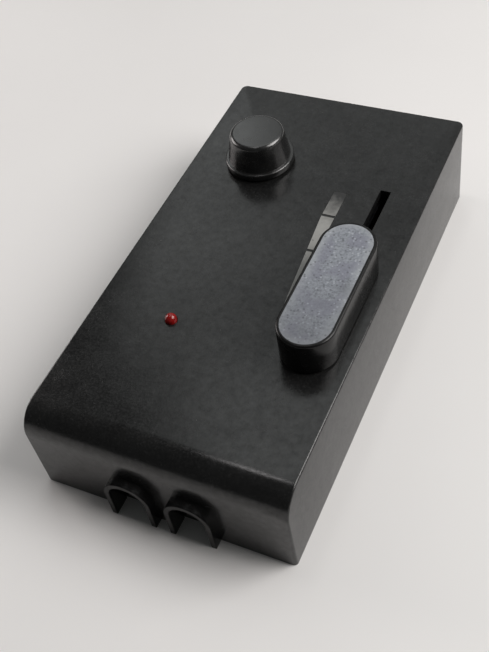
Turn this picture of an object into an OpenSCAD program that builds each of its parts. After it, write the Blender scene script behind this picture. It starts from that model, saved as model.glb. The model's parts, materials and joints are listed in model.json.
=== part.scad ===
// Brake controller unit: a dash-top box with a gain knob, a sliding manual override,
// a status lamp and two cable hoods. Millimetres. +X is right, +Y is back, +Z is up.
// The origin is the centre of the underside, without the cable hoods.

/* [Case] */
// Width of the case
case_w = 67; // [64:0.5:72]
// Length of the case, without the cable hoods
case_l = 127; // [124:0.5:134]
// Height of the case, without the controls
case_h = 26.5; // [26:0.5:30]
// Thickness of the top cover's walls
wall = 2.2; // [1.8:0.1:2.4]
// Radius of the large rounding along the front top edge
front_round = 7; // [5:0.5:8]
// Radius of the small rounding on all other outer edges
edge_round = 0.5; // [0.4:0.1:0.8]
// Radius of the upright corners at the back
back_corner = 1.8; // [1.2:0.1:1.8]
// Radius of the upright corners at the front, at the bottom
front_corner = 1; // [0.8:0.1:1.8]
// Thickness of the bottom cover
floor_t = 2; // [1.6:0.1:2.4]
// Gap between the bottom cover and the walls round it
floor_gap = 0.3; // [0.2:0.1:0.5]

/* [Cable hoods] */
// Outer radius of each hood
hood_r = 6; // [5.5:0.1:6.2]
// Wall thickness of each hood
hood_wall = 1.3; // [1:0.1:1.5]
// How far each hood stands out of the front face
hood_out = 2.5; // [1:0.1:4]
// Height of the middle of each hood's arc
hood_z = 8.9; // [8:0.1:9.5]
// Distance between the two hoods
hood_spacing = 15.8; // [14:0.1:18]
// Sideways place of the point midway between the hoods
hood_mid_x = 0.6; // [-1:0.1:1]

/* [Gain knob] */
// Sideways place of the knob's axis
knob_x = -14.8; // [-17:0.1:-12]
// Lengthwise place of the knob's axis
knob_y = 33.7; // [30:0.1:36]
// Radius of the knob's skirt
knob_skirt_r = 9.4; // [9.2:0.1:10]
// Thickness of the knob's skirt
knob_skirt_t = 1.9; // [1:0.1:2.2]
// Radius of the knob at its top edge
knob_top_r = 7.4; // [7.2:0.1:7.8]
// Height of the knob above the case
knob_rise = 10.1; // [9.8:0.1:12]
// Radius of the knob's shaft
shaft_r = 3; // [2.8:0.1:3]

/* [Override slider] */
// Sideways place of the slot
slot_x = 22.1; // [20:0.1:22.3]
// Width of the slot
slot_w = 2.8; // [2.8:0.1:3.4]
// Travel of the slider
travel = 40; // [30:1:40]
// Lengthwise place of the lever at rest
lever_y = -11; // [-12:0.1:-9]
// Radius of the cap's round ends
cap_r = 7.1; // [6.8:0.1:7.6]
// Length of the cap
cap_l = 40; // [36:0.2:42]
// How far the cap's middle stands to the right of the slot
cap_offset = 0.9; // [0:0.1:1.2]
// Height of the cap's top above the case
cap_rise = 10; // [9:0.1:11]
// Gap between the case and the knob or cap above it
control_gap = 0.5; // [0.4:0.1:0.8]

/* [Status lamp] */
// Sideways place of the lamp
lamp_x = -12.4; // [-14:0.1:-11]
// Lengthwise place of the lamp
lamp_y = -25.8; // [-27:0.1:-24]
// Radius of the lamp's lens
lamp_r = 1.5; // [1.4:0.1:1.6]

/* [Bracket holes] */
// Sideways distance between the bracket holes in the underside
bracket_dx = 40; // [36:1:42]
// Lengthwise distance between the bracket holes in the underside
bracket_dy = 70; // [60:1:74]
// Radius of the bracket holes
bracket_r = 1.5; // [1.2:0.1:1.6]

/* [Hidden] */

$fn = 64;
hull_fn = 32;
eps = 0.01;
thread_gap = 0.05;

// Case
in_x = case_w / 2 - wall;
in_y = case_l / 2 - wall;
roof_z = case_h - wall;
inner_round = front_round - wall;
front_y = -case_l / 2;
hood_xs = [hood_mid_x - hood_spacing / 2, hood_mid_x + hood_spacing / 2];
hood_in_r = hood_r - hood_wall;

// Screws that hold the bottom cover
cover_screw_r = 1.25;
cover_screw_head_r = 2.4;
cover_screw_l = 9;
cover_boss_r = 3.1;
cover_screw_xs = [-in_x + 3.4, in_x - 3.4];
cover_screw_ys = [-in_y + 6.6, in_y - 5];

// Main board on its posts
board_z = floor_t + 3.5;
board_t = 1.6;
board_top = board_z + board_t;
board_x = in_x - 1.8;
board_ys = [-50.3, 52.3];
post_r = 2.6;
board_screw_r = 1.2;
board_screw_xs = [-25, 25];
board_screw_ys = [-45.5, 47.5];
bracket_depth = floor_t + 2.4;

// Gain potentiometer under the roof, its thread through it
pot_r = 8.2;
pot_skin = 0.6;
pot_top = roof_z - 0.1;
pot_bottom = pot_top - 7.9;
bushing_r = 3.5;
bushing_flange_r = 4.6;
bushing_flange_t = 0.8;
washer_t = 0.4;
nut_t = 2;
nut_af = 10;
bushing_top = case_h + washer_t + nut_t + 0.1;
wafer_z = pot_bottom + pot_skin;
wafer_t = 0.8;
shaft_bottom = wafer_z + wafer_t + 0.5;
knob_bottom = case_h + control_gap;
knob_top = case_h + knob_rise;
knob_cavity_top = bushing_top + 1;
shaft_top = knob_top - 1.9;

// Slide potentiometer: a steel channel that hangs under the slot
lever_w = 2.2;
lever_l = 4;
slot_front = lever_y - lever_l / 2 - 0.6;
slot_back = lever_y + lever_l / 2 + travel + 0.3;
channel_w = 9;
channel_skin = 0.7;
channel_top = roof_z - 1.8;
channel_bottom = channel_top - 7.6;
carriage_l = 10;
channel_front = lever_y - carriage_l / 2 - 3.6;
channel_back = lever_y + travel + carriage_l / 2 + 6.4;
tab_l = 5.4;
tab_ys = [channel_front - tab_l / 2, channel_back + tab_l / 2];
track_t = 1.4;
carriage_w = 6.6;
carriage_bottom = channel_bottom + 1.1;
carriage_top = channel_top - channel_skin - 0.5;
rod_r = 1;
rod_z = carriage_bottom + 2;
lever_top = case_h + cap_rise - 3.2;
pot_screw_r = 1;
wire_r = 0.2;
coil_r = 1.75;
coils = 10;
coil_steps = 16;
wire_sides = 6;

// Cap on the lever
cap_x = slot_x + cap_offset;
cap_bottom = case_h + control_gap;
cap_top = case_h + cap_rise;
cap_edge = 0.6;
cap_wall = 1.6;
inlay_inset = 0.85;
inlay_t = 0.5;

// Printed wedge beside the slot
mark_t = 0.1;
mark_right = 12.8;
mark_front = -16.5;
mark_wide_from = 17.5;
mark_back = 27.4;
mark_min_w = 0.7;
mark_max_w = 3.5;
mark_gaps = [5.6, 18.4];
mark_gap_w = 0.8;

// Lamp
lamp_flange_r = 1.9;
lamp_flange_z = case_h - 5.2;
lamp_flange_t = 1;
lamp_dome_z = case_h + 0.4;
lamp_lead_r = 0.25;
lamp_lead_dx = 1.27;

// Power stage on the left wall
sink_x = -board_x + 0.2;
sink_t = 3;
sink_front = -23;
sink_back = 14;
sink_h = 15.9;
power_ys = [-15, 6];
pad_t = 0.2;
tab_t = 1.3;
tab_bottom = board_top + 1.5;
tab_h = 14.4;
tab_screw_z = tab_bottom + 12;
body_h = 9;
body_t = 3.1;
power_screw_r = 1.5;
pad_x = sink_x + sink_t;
tab_x = pad_x + pad_t;
body_x = tab_x + tab_t;

// Wire terminals behind the cable hoods
term_w = 10.4;
term_l = 8;
term_h = 10;
term_front = -50;
term_pitch = 5;
term_entry_r = 1.5;
term_screw_r = 1.6;
term_screw_h = 2.4;

// Control chip
chip_x = 5;
chip_y = -22;
chip_l = 22;
chip_w = 6.4;
chip_h = 3.2;
chip_lift = 0.6;
chip_pitch = 2.54;
chip_pins_per_side = 8;

// Points of an arc about [x, y], from angle a to angle b
function arc(x, y, r, a, b, steps = 8) =
  [for (i = [0:steps]) let (t = a + (b - a) * i / steps) [x + r * cos(t), y + r * sin(t)]];

// A shape repeated at every pair of places
module at_each(xs, ys) {
  for (x = xs, y = ys)
    translate([x, y, 0])
      children();
}

// A flat outline turned so that its Y points up and it is extruded towards +Y
module wall_extrude(from, depth) {
  translate([0, from + depth, 0])
    rotate([90, 0, 0])
      linear_extrude(depth)
        children();
}

// An outline with straight legs down to the ground and a round top
module arch(r, z, foot = 0) {
  translate([0, z])
    circle(r);
  translate([-r, foot])
    square([2 * r, z - foot]);
}

// A stadium-shaped outline along Y
module stadium(r, length) {
  for (side = [-1, 1])
    translate([0, side * (length / 2 - r)])
      circle(r);
  square([2 * r, length - 2 * r], center = true);
}

// A rod between two heights
module rod(r, from, to) {
  translate([0, 0, from])
    cylinder(r = r, h = to - from);
}

// A lead with a straight stretch along X and both ends bent down to the board
module bent_lead(r, half, top) {
  for (side = [-1, 1])
    translate([side * half, 0, 0])
      rod(r, board_top, top);
  translate([-half - r, 0, top])
    rotate([0, 90, 0])
      cylinder(r = r, h = 2 * (half + r));
}

// The outer form of the case: one hull, so that every edge is rounded. The front corners are
// sharper at the top, where they run into the large rounding.
module case_form() {
  e = edge_round;
  hull() {
    for (side = [-1, 1]) {
      translate([side * (case_w / 2 - e), front_y + front_round, case_h - front_round])
        rotate([0, 90, 0])
          rotate_extrude($fn = 72)
            translate([front_round - e, 0])
              circle(e, $fn = 16);
      translate([side * (case_w / 2 - back_corner), case_l / 2 - back_corner, case_h - e])
        rotate_extrude($fn = hull_fn)
          translate([back_corner - e, 0])
            circle(e, $fn = 16);
      for (end = [[-1, front_corner], [1, back_corner]])
        translate([side * (case_w / 2 - end[1]), end[0] * (case_l / 2 - end[1]), 0])
          cylinder(r = end[1], h = 1, $fn = hull_fn);
    }
  }
}

// The hollow of the case, with a rounded front top edge and an open floor
module case_hollow() {
  back = in_y;
  rotate([90, 0, 90])
    translate([0, 0, -in_x])
      linear_extrude(2 * in_x)
        polygon(concat(
          arc(-in_y + inner_round, roof_z - inner_round, inner_round, 180, 90),
          [[back, roof_z], [back, -1], [-in_y, -1]]));
}

module top_cover() {
  color([0.10, 0.10, 0.11])
    difference() {
      union() {
        difference() {
          case_form();
          case_hollow();
        }
        at_each(cover_screw_xs, cover_screw_ys)
          rod(cover_boss_r, floor_t, roof_z + eps);
        for (y = tab_ys)
          translate([slot_x, y, 0])
            rod(2.5, channel_top, roof_z + eps);
        for (x = hood_xs)
          translate([x, 0, 0])
            wall_extrude(front_y - hood_out, hood_out + edge_round)
              arch(hood_r, hood_z);
      }
      for (x = hood_xs)
        translate([x, 0, 0])
          wall_extrude(front_y - hood_out - 1, hood_out + wall + 2)
            arch(hood_in_r, hood_z, -1);
      translate([slot_x - slot_w / 2, slot_front, roof_z - 1])
        cube([slot_w, slot_back - slot_front, wall + 2]);
      translate([knob_x, knob_y, 0])
        rod(bushing_r + thread_gap, roof_z - 1, case_h + 1);
      translate([lamp_x, lamp_y, 0])
        rod(lamp_r + 0.1, roof_z - 1, case_h + 1);
      at_each(cover_screw_xs, cover_screw_ys)
        rod(cover_screw_r + thread_gap, floor_t - 1, cover_screw_l + 1);
      for (y = tab_ys)
        translate([slot_x, y, 0])
          rod(pot_screw_r + thread_gap, channel_top - 1, channel_top + 2.9);
    }
}

module bottom_cover() {
  plate_x = in_x - floor_gap;
  plate_y = in_y - floor_gap;
  color([0.09, 0.09, 0.10])
    difference() {
      union() {
        translate([-plate_x, -plate_y, 0])
          cube([2 * plate_x, 2 * plate_y, floor_t]);
        at_each(board_screw_xs, board_screw_ys)
          rod(post_r, floor_t - eps, board_z);
        at_each([-bracket_dx / 2, bracket_dx / 2], [-bracket_dy / 2, bracket_dy / 2])
          rod(bracket_r + 1.8, floor_t - eps, bracket_depth + 0.6);
      }
      at_each(cover_screw_xs, cover_screw_ys) {
        rod(cover_screw_r + 0.2, -1, floor_t + 1);
        translate([0, 0, -eps])
          cylinder(r1 = cover_screw_head_r + 0.1, r2 = cover_screw_r + 0.1, h = 1.25);
      }
      at_each(board_screw_xs, board_screw_ys)
        rod(board_screw_r + thread_gap, 1, board_z + 1);
      at_each([-bracket_dx / 2, bracket_dx / 2], [-bracket_dy / 2, bracket_dy / 2])
        rod(bracket_r, -1, bracket_depth);
    }
}

// Countersunk screws, with a cross recess, up through the bottom cover
module cover_screws() {
  color([0.20, 0.20, 0.21])
    at_each(cover_screw_xs, cover_screw_ys)
      difference() {
        union() {
          translate([0, 0, 0.05])
            cylinder(r1 = cover_screw_head_r, r2 = cover_screw_r, h = 1.15);
          rod(cover_screw_r, 1.1, cover_screw_l);
        }
        for (a = [0, 90])
          rotate([0, 0, a])
            translate([-1.3, -0.25, -1])
              cube([2.6, 0.5, 1.8]);
      }
}

// The printed wedge: a bar that widens to the back, cut into three
module scale_marking() {
  color([0.62, 0.62, 0.61])
    translate([0, 0, case_h])
      linear_extrude(mark_t)
        difference() {
          polygon([
            [mark_right, mark_front], [mark_right, mark_back],
            [mark_right - mark_max_w, mark_back], [mark_right - mark_max_w, mark_wide_from],
            [mark_right - mark_min_w, mark_front]]);
          for (y = mark_gaps)
            translate([mark_right - mark_max_w - 1, y - mark_gap_w / 2])
              square([mark_max_w + 2, mark_gap_w]);
        }
}

module main_board() {
  color([0.07, 0.25, 0.13])
    difference() {
      translate([-board_x, board_ys[0], board_z])
        cube([2 * board_x, board_ys[1] - board_ys[0], board_t]);
      at_each(board_screw_xs, board_screw_ys)
        rod(board_screw_r + 0.2, board_z - 1, board_top + 1);
    }
}

module board_screws() {
  color([0.70, 0.70, 0.72])
    at_each(board_screw_xs, board_screw_ys)
      difference() {
        union() {
          rod(board_screw_r, 2.4, board_top + eps);
          rod(2.2, board_top, board_top + 1.4);
        }
        for (a = [0, 90])
          rotate([0, 0, a])
            translate([-1.2, -0.25, board_top + 0.6])
              cube([2.4, 0.5, 2]);
      }
}

// The knob: a thin skirt, a tapering side and a flat top with a rounded edge
module gain_knob() {
  edge = 1.3;
  skirt_edge = 0.4;
  skirt_top = knob_bottom + knob_skirt_t;
  waist_r = knob_skirt_r - 0.9;
  bore_r = shaft_r + 0.02;
  color([0.08, 0.08, 0.09])
    translate([knob_x, knob_y, 0])
      rotate_extrude($fn = 96)
        polygon(concat(
          [[bore_r, shaft_top + 0.3], [bore_r, knob_cavity_top], [6.6, knob_cavity_top],
            [6.6, knob_bottom]],
          arc(knob_skirt_r - skirt_edge, knob_bottom + skirt_edge, skirt_edge, -90, 0, 4),
          arc(knob_skirt_r - skirt_edge, skirt_top - skirt_edge, skirt_edge, 0, 90, 4),
          [[waist_r, skirt_top]],
          arc(knob_top_r - edge, knob_top - edge, edge, 8, 90, 8),
          [[0, knob_top], [0, shaft_top + 0.3]]));
}

module gain_pot_shaft() {
  color([0.80, 0.80, 0.78])
    translate([knob_x, knob_y, 0])
      rod(shaft_r, shaft_bottom, shaft_top);
}

// A ring on the shaft with two sprung arms that reach down to the track
module gain_pot_wiper() {
  ring_z = shaft_bottom + 1;
  color([0.85, 0.70, 0.35])
    translate([knob_x, knob_y, 0])
      difference() {
        union() {
          rod(4.4, ring_z, ring_z + 0.6);
          for (a = [0, 180])
            rotate([0, 0, a])
              translate([3.6, -1, wafer_z + wafer_t + 0.3])
                cube([2.6, 2, ring_z + 0.6 - wafer_z - wafer_t - 0.3]);
        }
        rod(shaft_r, ring_z - 3, ring_z + 2);
      }
}

module gain_pot_case() {
  color([0.66, 0.66, 0.64])
    translate([knob_x, knob_y, 0])
      difference() {
        rod(pot_r, pot_bottom, pot_top);
        rod(pot_r - pot_skin, wafer_z, pot_top - pot_skin);
        rod(bushing_r, pot_top - 1, pot_top + 1);
      }
}

module gain_pot_wafer() {
  color([0.45, 0.30, 0.16])
    translate([knob_x, knob_y, 0])
      rod(pot_r - pot_skin - 0.1, wafer_z, wafer_z + wafer_t);
}

module gain_pot_bushing() {
  flange_top = pot_top - pot_skin;
  color([0.75, 0.72, 0.62])
    translate([knob_x, knob_y, 0])
      difference() {
        union() {
          rod(bushing_flange_r, flange_top - bushing_flange_t, flange_top);
          rod(bushing_r, flange_top - eps, bushing_top);
        }
        rod(shaft_r + 0.05, flange_top - 2, bushing_top + 1);
      }
}

module gain_pot_washer() {
  color([0.75, 0.75, 0.74])
    translate([knob_x, knob_y, case_h])
      difference() {
        cylinder(r = 5.4, h = washer_t);
        translate([0, 0, -1])
          cylinder(r = bushing_r + thread_gap, h = washer_t + 2);
      }
}

module gain_pot_nut() {
  color([0.78, 0.78, 0.76])
    translate([knob_x, knob_y, case_h + washer_t])
      difference() {
        cylinder(r = nut_af / 2 / cos(30), h = nut_t, $fn = 6);
        translate([0, 0, -1])
          cylinder(r = bushing_r + thread_gap, h = nut_t + 2);
      }
}

module gain_pot_pins() {
  color([0.80, 0.80, 0.78])
    for (x = [-5, 0, 5])
      translate([knob_x + x, knob_y - 6, 0])
        rod(0.4, board_top, pot_bottom);
}

// The cap: a hollow moulding with a socket for the lever and a recess for the inlay
module slider_cap() {
  socket_top = lever_top + 0.1;
  roof = cap_top - cap_wall - inlay_t;
  profile = concat(
    [[0, 0]],
    arc(cap_r - 0.3, 0.3, 0.3, -90, 0, 3),
    arc(cap_r - cap_edge, cap_top - cap_bottom - cap_edge, cap_edge, 0, 90, 5),
    [[0, cap_top - cap_bottom]]);
  color([0.07, 0.07, 0.08])
    difference() {
      translate([cap_x, lever_y, cap_bottom])
        hull() {
          for (side = [-1, 1])
            translate([0, side * (cap_l / 2 - cap_r), 0])
              rotate_extrude($fn = 72)
                polygon(profile);
        }
      difference() {
        translate([cap_x, lever_y, cap_bottom - 1])
          linear_extrude(roof - cap_bottom + 1)
            stadium(cap_r - cap_wall, cap_l - 2 * cap_wall);
        translate([slot_x - lever_w / 2 - 1.4, lever_y - lever_l / 2 - 1.4, cap_bottom + 1])
          cube([lever_w + 2.8, lever_l + 2.8, 20]);
      }
      translate([slot_x - lever_w / 2 - 0.05, lever_y - lever_l / 2 - 0.05, cap_bottom - 1])
        cube([lever_w + 0.1, lever_l + 0.1, socket_top - cap_bottom + 1]);
      translate([cap_x, lever_y, cap_top - inlay_t])
        linear_extrude(inlay_t + 1)
          stadium(cap_r - inlay_inset, cap_l - 2 * inlay_inset);
    }
}

module cap_inlay() {
  color([0.50, 0.52, 0.54])
    translate([cap_x, lever_y, cap_top - inlay_t])
      linear_extrude(inlay_t)
        stadium(cap_r - inlay_inset - 0.03, cap_l - 2 * inlay_inset - 0.06);
}

module slide_carriage() {
  color([0.86, 0.85, 0.80])
    difference() {
      union() {
        translate([slot_x - carriage_w / 2, lever_y - carriage_l / 2, carriage_bottom])
          cube([carriage_w, carriage_l, carriage_top - carriage_bottom]);
        translate([slot_x - lever_w / 2, lever_y - lever_l / 2, carriage_top - eps])
          cube([lever_w, lever_l, lever_top - carriage_top + eps]);
      }
      translate([slot_x, lever_y - carriage_l / 2 - 1, rod_z])
        rotate([-90, 0, 0])
          cylinder(r = rod_r + 0.08, h = carriage_l + 2);
    }
}

// A brass plate under the carriage with two sprung fingers over the tracks
module slide_wiper() {
  plate_t = 0.2;
  plate_w = 5.6;
  finger_w = 1.4;
  track_gap = 0.3;
  drop = carriage_bottom - channel_bottom - track_gap;
  color([0.85, 0.70, 0.35]) {
    translate([slot_x - plate_w / 2, lever_y - 3, carriage_bottom - plate_t])
      cube([plate_w, 6, plate_t]);
    for (side = [-1, 1])
      translate([slot_x + side * (plate_w - finger_w) / 2 - finger_w / 2, lever_y, carriage_bottom])
        rotate([90, 0, 90])
          linear_extrude(finger_w)
            polygon([[-3, -plate_t], [-2, -plate_t], [3, -drop + plate_t], [4, -drop + plate_t],
              [4, -drop], [3, -drop]]);
  }
}

module slide_pot_frame() {
  w = channel_w;
  skin = channel_skin;
  length = channel_back - channel_front;
  color([0.20, 0.20, 0.21])
    difference() {
      union() {
        translate([slot_x - w / 2, channel_front, channel_bottom])
          cube([w, length, channel_top - channel_bottom]);
        translate([slot_x - 3.4, channel_front - tab_l, channel_top - skin])
          cube([6.8, length + 2 * tab_l, skin]);
      }
      translate([slot_x - w / 2 + skin, channel_front + skin, channel_bottom - 1])
        cube([w - 2 * skin, length - 2 * skin, channel_top - channel_bottom + 1 - skin]);
      translate([slot_x - slot_w / 2 - 0.1, slot_front - 0.5, channel_top - 2])
        cube([slot_w + 0.2, slot_back - slot_front + 1, 4]);
      translate([slot_x, channel_front - 1, rod_z])
        rotate([-90, 0, 0])
          cylinder(r = rod_r + 0.02, h = length + 2);
      for (y = tab_ys)
        translate([slot_x, y, 0])
          rod(pot_screw_r + 0.15, channel_top - 2, channel_top + 1);
    }
}

module slide_pot_track() {
  color([0.42, 0.28, 0.15])
    translate([slot_x - channel_w / 2, channel_front, channel_bottom - track_t])
      cube([channel_w, channel_back - channel_front, track_t]);
}

module slide_pot_pins() {
  color([0.80, 0.80, 0.78])
    at_each([slot_x - 3, slot_x, slot_x + 3], [channel_front + 2, channel_back - 2])
      rod(0.4, board_top, channel_bottom - track_t);
}

module slide_pot_screws() {
  head_top = channel_top - channel_skin;
  color([0.72, 0.72, 0.72])
    for (y = tab_ys)
      translate([slot_x, y, 0])
        difference() {
          union() {
            rod(1.9, head_top - 1.3, head_top);
            rod(pot_screw_r, head_top - eps, channel_top + 2.5);
          }
          for (a = [0, 90])
            rotate([0, 0, a])
              translate([-1, -0.2, head_top - 2])
                cube([2, 0.4, 1.4]);
        }
}

module guide_rod() {
  color([0.82, 0.82, 0.82])
    translate([slot_x, channel_front, rod_z])
      rotate([-90, 0, 0])
        cylinder(r = rod_r, h = channel_back - channel_front);
}

// A ring of points round the wire, at turn t of the coil
function wire_ring(t, pitch) =
  [for (k = [0:wire_sides - 1])
    let (a = 360 * t, b = 360 * k / wire_sides, r = coil_r + wire_r * cos(b))
      [r * cos(a), pitch * t + wire_r * sin(b), r * sin(a)]];

// The compression spring behind the carriage, wound round the guide rod
module return_spring() {
  front = lever_y + carriage_l / 2 + wire_r + 0.1;
  back = channel_back - channel_skin - wire_r - 0.1;
  pitch = (back - front) / coils;
  rings = coils * coil_steps;
  s = wire_sides;
  points = [for (i = [0:rings]) each wire_ring(i / coil_steps, pitch)];
  sides = [for (i = [0:rings - 1], k = [0:s - 1])
    let (a = i * s + k, b = i * s + (k + 1) % s)
      each [[a, a + s, b + s], [a, b + s, b]]];
  start_cap = [for (k = [0:s - 1]) k];
  end_cap = [for (k = [s - 1:-1:0]) rings * s + k];
  color([0.70, 0.71, 0.73])
    translate([slot_x, front, rod_z])
      polyhedron(points, concat(sides, [start_cap, end_cap]), convexity = 10);
}

// A lens with a flange under the roof and a dome above it
module lamp_lens() {
  color([0.75, 0.06, 0.05])
    translate([lamp_x, lamp_y, 0])
      rotate_extrude($fn = 48)
        polygon(concat(
          [[0, lamp_flange_z], [lamp_flange_r, lamp_flange_z],
            [lamp_flange_r, lamp_flange_z + lamp_flange_t], [lamp_r, lamp_flange_z + lamp_flange_t]],
          arc(0, lamp_dome_z, lamp_r, 0, 90, 10)));
}

module lamp_leads() {
  color([0.80, 0.80, 0.80])
    for (side = [-1, 1])
      translate([lamp_x + side * lamp_lead_dx, lamp_y, 0])
        rod(lamp_lead_r, board_top, lamp_flange_z);
}

module lamp_spacer() {
  color([0.12, 0.12, 0.12])
    translate([lamp_x, lamp_y, 0])
      difference() {
        rod(2.4, board_top, lamp_flange_z);
        for (side = [-1, 1])
          translate([side * lamp_lead_dx, 0, 0])
            rod(lamp_lead_r + 0.05, board_top - 1, lamp_flange_z + 1);
      }
}

// A finned aluminium plate along the left wall, drilled for the two transistors
module heat_sink() {
  fin_pitch = 2.6;
  groove = 1.3;
  color([0.60, 0.61, 0.63])
    difference() {
      translate([sink_x, sink_front, board_top])
        cube([sink_t, sink_back - sink_front, sink_h]);
      for (y = [sink_front + 1.3:fin_pitch:sink_back - groove - 1])
        translate([sink_x - 1, y, board_top + 2])
          cube([2.4, groove, sink_h]);
      for (y = power_ys)
        translate([sink_x - 1, y, tab_screw_z])
          rotate([0, 90, 0])
            cylinder(r = power_screw_r + thread_gap, h = sink_t + 2);
    }
}

// A plate against the heat sink with the transistor's screw hole
module power_plate(x, t, half_w, extra_h = 0) {
  for (y = power_ys)
    difference() {
      translate([x, y - half_w, tab_bottom - extra_h])
        cube([t, 2 * half_w, tab_h + 2 * extra_h]);
      translate([x - 1, y, tab_screw_z])
        rotate([0, 90, 0])
          cylinder(r = power_screw_r + 0.15, h = t + 2);
    }
}

module thermal_pads() {
  color([0.75, 0.78, 0.80])
    power_plate(pad_x, pad_t, 5.6, 0.5);
}

module transistor_tabs() {
  color([0.78, 0.78, 0.78])
    power_plate(tab_x, tab_t, 5);
}

// Moulded bodies on the tabs, each with three legs down to the board
module transistor_bodies() {
  color([0.08, 0.08, 0.08])
    for (y = power_ys) {
      translate([body_x, y - 5, tab_bottom])
        cube([body_t, 10, body_h]);
      for (leg = [-1, 0, 1])
        translate([body_x + 1.2, y + leg * 2.54 - 0.4, board_top])
          cube([0.6, 0.8, tab_bottom - board_top + eps]);
    }
}

module transistor_screws() {
  color([0.80, 0.80, 0.82])
    for (y = power_ys)
      translate([0, y, tab_screw_z])
        rotate([0, 90, 0])
          difference() {
            union() {
              translate([0, 0, sink_x + 0.6])
                cylinder(r = power_screw_r, h = body_x - sink_x - 0.6 + eps);
              translate([0, 0, body_x])
                cylinder(r = 2.4, h = 1.8);
            }
            translate([-0.3, -3, body_x + 1.1])
              cube([0.6, 6, 2]);
          }
}

// Two electrolytic cans, each with a rolled groove and a stepped rubber foot
module filter_capacitors() {
  can_r = 5;
  can_h = 12.5;
  color([0.10, 0.13, 0.30])
    for (x = [-9.5, 2])
      translate([x, 3, board_top])
        rotate_extrude()
          polygon([[0, 0], [can_r - 0.6, 0], [can_r - 0.6, 0.6], [can_r, 1], [can_r, 2],
            [can_r - 0.4, 2.4], [can_r, 2.8], [can_r, can_h - 0.5], [can_r - 0.5, can_h],
            [0, can_h]]);
}

module control_chip() {
  color([0.10, 0.10, 0.10])
    translate([chip_x, chip_y, board_top + chip_lift])
      difference() {
        translate([-chip_l / 2, -chip_w / 2, 0])
          cube([chip_l, chip_w, chip_h]);
        translate([-chip_l / 2, 0, chip_h - 0.5])
          cylinder(r = 1.2, h = 1);
      }
}

module chip_pins() {
  row = (chip_pins_per_side - 1) / 2;
  pin_z = board_top + chip_lift + chip_h / 2;
  color([0.78, 0.78, 0.78])
    for (side = [-1, 1], i = [-row:row])
      translate([chip_x + i * chip_pitch, chip_y + side * chip_w / 2, 0])
        mirror([0, side < 0 ? 1 : 0, 0]) {
          translate([-0.6, 0, pin_z - 0.15])
            cube([1.2, 0.7, 0.3]);
          translate([-0.3, 0.4, board_top])
            cube([0.6, 0.3, pin_z - board_top]);
        }
}

// A bent strap that carries the brake current over the board
module current_shunt() {
  strap = 0.8;
  rise = 4.5;
  half = 6;
  color([0.72, 0.52, 0.34])
    translate([-17, -38, board_top])
      rotate([90, 0, 0])
        linear_extrude(4)
          difference() {
            polygon([[-half - 2, 0], [-half - 2, strap], [-half, strap], [-half + 1, rise],
              [half - 1, rise], [half, strap], [half + 2, strap], [half + 2, 0],
              [half - strap, 0], [half - 1 - strap, rise - strap],
              [-half + 1 + strap, rise - strap], [-half + strap, 0]]);
          }
}

module flyback_diode() {
  r = 2.6;
  color([0.12, 0.12, 0.12])
    translate([8, -33.5, 0]) {
      translate([-4.8, 0, board_top + r + 0.3])
        rotate([0, 90, 0])
          cylinder(r = r, h = 9.6);
      bent_lead(0.6, 6.6, board_top + r + 0.3);
    }
}

// A small three-legged package with one flat side
module voltage_regulator() {
  r = 2.4;
  lift = 2;
  color([0.10, 0.10, 0.10])
    translate([9, -10, 0]) {
      translate([0, 0, board_top + lift])
        difference() {
          cylinder(r = r, h = 4.7);
          translate([-r - 1, -r - 1, -1])
            cube([2 * r + 2, r - 0.2, 7]);
        }
      for (x = [-1.27, 0, 1.27])
        translate([x, 0, 0])
          rod(0.25, board_top, board_top + lift + eps);
    }
}

// A row of wire-ended resistors, each waisted between its end caps
module resistors() {
  axis_z = board_top + 1.5;
  color([0.66, 0.52, 0.36])
    for (i = [0:5])
      translate([6, 17 + 5 * i, 0]) {
        translate([-3, 0, axis_z])
          rotate([0, 90, 0])
            rotate_extrude()
              polygon([[0, 0], [1.2, 0], [1.2, 1.4], [0.95, 1.8], [0.95, 4.2], [1.2, 4.6],
                [1.2, 6], [0, 6]]);
        bent_lead(0.3, 4.4, axis_z);
      }
}

module disc_capacitors() {
  r = 2.3;
  lift = 1;
  color([0.72, 0.42, 0.18])
    for (at = [[-21, -30.5], [-4.5, -12.5], [13, 4.5], [-3.5, 45]])
      translate([at[0], at[1], board_top]) {
        translate([0, 0.7, r + lift])
          rotate([90, 0, 0])
            cylinder(r = r, h = 1.4);
        for (side = [-1, 1])
          translate([side * 1.27, 0, 0])
            cylinder(r = 0.25, h = lift + 1);
      }
}

// A two-way screw terminal behind each cable hood, its wire entries facing the hood
module terminal_blocks() {
  color([0.10, 0.30, 0.17])
    for (x = hood_xs)
      translate([x, term_front, board_top])
        difference() {
          rotate([90, 0, 90])
            translate([0, 0, -term_w / 2])
              linear_extrude(term_w)
                polygon([[0, 0], [0, term_h - 3], [1.6, term_h], [term_l, term_h], [term_l, 0]]);
          for (side = [-1, 1])
            translate([side * term_pitch / 2, 0, 0]) {
              translate([0, -1, 3])
                rotate([-90, 0, 0])
                  cylinder(r = term_entry_r, h = 5.5);
              translate([0, term_l / 2 + 0.6, term_h - term_screw_h - 0.6])
                cylinder(r = term_screw_r + thread_gap, h = 5);
            }
        }
}

module terminal_screws() {
  color([0.80, 0.80, 0.78])
    for (x = hood_xs, side = [-1, 1])
      translate([x + side * term_pitch / 2, term_front + term_l / 2 + 0.6,
          board_top + term_h - term_screw_h - 0.6])
        difference() {
          cylinder(r = term_screw_r, h = term_screw_h);
          translate([-2, -0.3, term_screw_h - 0.8])
            cube([4, 0.6, 1]);
        }
}

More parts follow.
